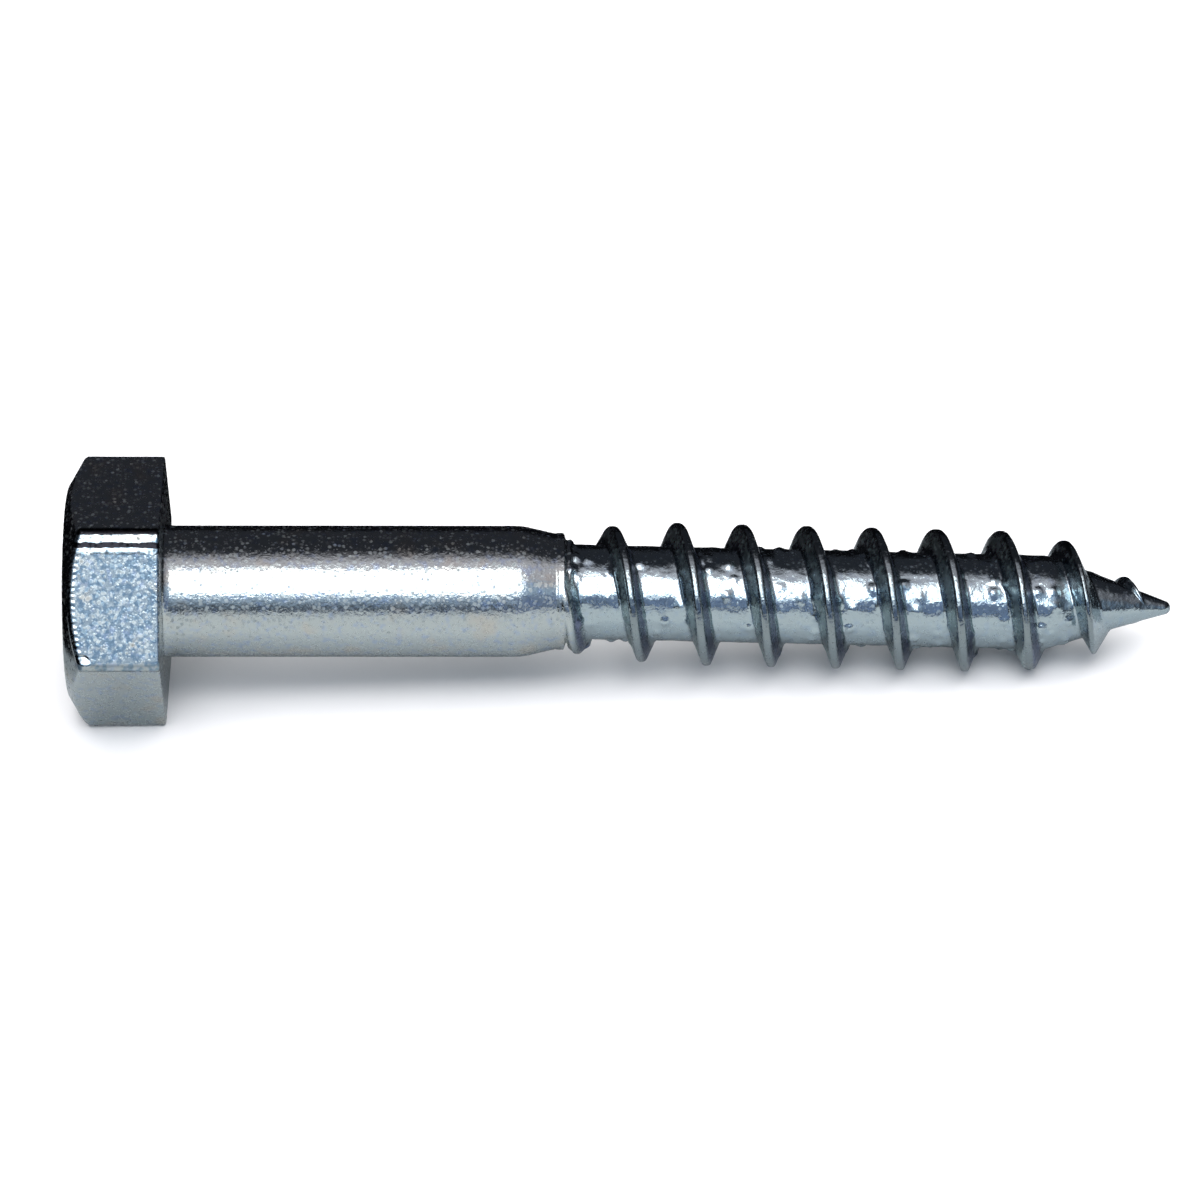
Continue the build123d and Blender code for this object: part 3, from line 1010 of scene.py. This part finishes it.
class LAGSCREW_OT_add_screw(bpy.types.Operator):
    """Make the whole screw, in one piece, and lay it where the frame's screw lies"""

    bl_idname = "lagscrew.add_screw"
    bl_label = "Add Lag Screw"

    def execute(self, context):
        sizes = context.scene.lag_screw_sizes
        finish = context.scene.lag_screw_finish
        group, identifiers = screw_group(sizes, finish, zinc_plating(sizes, finish))
        screw = bpy.data.objects.new("zinc_plated_screw", bpy.data.meshes.new("screw grid"))
        modifier = screw.modifiers.new("Form", "NODES")
        modifier.node_group = group
        for key, identifier in identifiers.items():
            modifier[identifier] = getattr(sizes, key)
        context.scene.collection.objects.link(screw)
        shaped = screw.evaluated_get(context.evaluated_depsgraph_get())
        mesh = bpy.data.meshes.new_from_object(shaped)
        if not mesh.polygons:
            raise RuntimeError("the screw's nodes made no mesh")
        screw.modifiers.remove(modifier)
        screw.data = mesh
        mesh.name = screw.name
        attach(screw, "root")
        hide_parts(NODE)
        return {"FINISHED"}


class LAGSCREW_OT_add_studio(bpy.types.Operator):
    """Make the floor, the backdrop, the dark room, the soft box and the camera"""

    bl_idname = "lagscrew.add_studio"
    bl_label = "Add Studio"

    def execute(self, context):
        scene = context.scene
        studio = scene.lag_screw_studio
        self.add_floor(scene, studio)
        self.add_backdrop(scene)
        self.add_room(scene, studio)
        self.add_flags(scene)
        self.add_card(scene, studio)
        self.add_key(scene, studio)
        self.add_fill(scene, studio)
        self.add_camera(scene, studio)
        scene.view_settings.view_transform = "Standard"
        return {"FINISHED"}

    def add_stage_piece(self, scene, mesh, material):
        """Puts a mesh in the scene as a piece of the stage, in one material."""
        mesh.materials.append(material)
        piece = bpy.data.objects.new(mesh.name, mesh)
        scene.collection.objects.link(piece)
        return piece

    def add_floor(self, scene, studio):
        """A pale floor for the camera, and a shaded one for the plating to mirror."""
        reach = FLOOR_REACH
        corners = [(-reach, -reach), (reach, -reach), (reach, reach), (-reach, reach)]
        mesh = sheet("floor", [(x, y, FLOOR_HEIGHT) for x, y in corners])
        floor = self.add_stage_piece(scene, mesh, painted("Pale floor", tuple(studio.floor)))
        floor.visible_glossy = False
        height = FLOOR_HEIGHT + SHADED_FLOOR_RISE
        mesh = sheet("reflected_floor", [(x, y, height) for x, y in corners])
        floor = self.add_stage_piece(scene, mesh, reflected_floor(studio))
        seen_only_in_reflections(floor)

    def add_backdrop(self, scene):
        """Plain white, seen past the floor's edge."""
        scene.world = bpy.data.worlds.new("White backdrop")
        scene.world.use_nodes = True
        tree = Tree(scene.world.node_tree)
        tree.nodes.clear()
        white = tree.node("ShaderNodeBackground", {}, {"Color": (1, 1, 1), "Strength": 1.0})
        tree.node("ShaderNodeOutputWorld", {}, {"Surface": white.outputs[0]})

    def add_room(self, scene, studio):
        """A dark shell round the set, which the plating reflects and the camera sees through."""
        form = bmesh.new()
        bmesh.ops.create_icosphere(form, subdivisions=4, radius=ROOM_RADIUS)
        mesh = bpy.data.meshes.new("room")
        form.to_mesh(mesh)
        form.free()
        room = self.add_stage_piece(scene, mesh, room_light(studio))
        room.visible_camera = False

    def add_flags(self, scene):
        """Black flags behind the screw and beside its head, seen only in its reflections."""
        foot = [(FLAG_LEFT, -FLAG_REACH), (FLAG_LEFT, FLAG_BACK), (FLAG_REACH, FLAG_BACK)]
        corners = upright_corners(foot, FLOOR_HEIGHT, FLOOR_HEIGHT + FLAG_HEIGHT)
        mesh = sheet("flags", corners, [(0, 1, 4, 3), (1, 2, 5, 4)])
        flags = self.add_stage_piece(scene, mesh, painted("Black flag", FLAG_PAINT))
        seen_only_in_reflections(flags)

    def add_card(self, scene, studio):
        """A dim bluish card that the thread mirrors, seen only in its reflections."""
        low, high = (FLOOR_HEIGHT - CARD_FRONT * math.tan(rise) for rise in (CARD_LOW, CARD_HIGH))
        foot = [(CARD_LEFT, CARD_FRONT), (CARD_RIGHT, CARD_FRONT)]
        mesh = sheet("card", upright_corners(foot, low, high), [(0, 1, 3, 2)])
        card = self.add_stage_piece(scene, mesh, painted("Dim card", tuple(studio.card)))
        seen_only_in_reflections(card)

    def add_key(self, scene, studio):
        """The soft box, in front of the screw and above it."""
        middle = (studio.key_low + studio.key_high) / 2
        data = bpy.data.lights.new("Soft box", "AREA")
        data.shape = "RECTANGLE"
        data.size = studio.key_width
        data.size_y = 2 * studio.key_distance * math.tan((studio.key_high - studio.key_low) / 2)
        data.energy = studio.key_power
        back = Vector((0, -math.cos(middle), math.sin(middle)))
        right = Vector((1, 0, 0))
        self.place(scene, data, right, back.cross(right), back, back * studio.key_distance)

    def add_fill(self, scene, studio):
        """Wide light from above that softens the shadow, and that nothing mirrors."""
        data = bpy.data.lights.new("Fill", "AREA")
        data.size = studio.fill_size
        data.energy = studio.fill_power
        height = FLOOR_HEIGHT + studio.fill_height
        right, ahead, back = Vector((1, 0, 0)), Vector((0, 1, 0)), Vector((0, 0, 1))
        fill = self.place(scene, data, right, ahead, back, Vector((LENGTH / 2, 0, height)))
        fill.visible_glossy = False

    def add_camera(self, scene, studio):
        """The camera, turned to its target."""
        right, up, back = camera_axes(studio)
        data = bpy.data.cameras.new("Camera")
        data.lens = studio.lens
        data.clip_start = CLIP_START
        target = Vector((studio.target_along, 0, studio.target_height))
        place = target + back * studio.distance
        scene.camera = self.place(scene, data, right, up, back, place)

    def place(self, scene, data, right, up, back, position):
        """Puts a lamp or a camera at a position, looking away from its back."""
        placed = bpy.data.objects.new(data.name, data)
        turned = Matrix((right, up, back)).transposed()
        placed.matrix_world = Matrix.Translation(position) @ turned.to_4x4()
        scene.collection.objects.link(placed)
        return placed


class LAGSCREW_PT_sidebar(bpy.types.Panel):
    """The screw's settings, and a button for each operator"""

    bl_idname = "LAGSCREW_PT_sidebar"
    bl_label = "Lag Screw"
    bl_space_type = "VIEW_3D"
    bl_region_type = "UI"
    bl_category = "Lag Screw"

    def draw(self, context):
        scene = context.scene
        for title, settings, operator in (
            ("Sizes", scene.lag_screw_sizes, LAGSCREW_OT_add_screw),
            ("Plating", scene.lag_screw_finish, None),
            ("Studio", scene.lag_screw_studio, LAGSCREW_OT_add_studio),
        ):
            box = self.layout.box()
            box.label(text=title)
            for key in settings.__annotations__:
                box.prop(settings, key)
            if operator:
                box.operator(operator.bl_idname)


CLASSES = (
    LagScrewSizes,
    LagScrewFinish,
    LagScrewStudio,
    LAGSCREW_OT_add_screw,
    LAGSCREW_OT_add_studio,
    LAGSCREW_PT_sidebar,
)


def register():
    for cls in CLASSES:
        bpy.utils.register_class(cls)
    bpy.types.Scene.lag_screw_sizes = PointerProperty(type=LagScrewSizes)
    bpy.types.Scene.lag_screw_finish = PointerProperty(type=LagScrewFinish)
    bpy.types.Scene.lag_screw_studio = PointerProperty(type=LagScrewStudio)


def unregister():
    del bpy.types.Scene.lag_screw_studio
    del bpy.types.Scene.lag_screw_finish
    del bpy.types.Scene.lag_screw_sizes
    for cls in reversed(CLASSES):
        bpy.utils.unregister_class(cls)


def main():
    register()
    bpy.ops.lagscrew.add_screw()
    bpy.ops.lagscrew.add_studio()


if __name__ == "__main__":
    main()
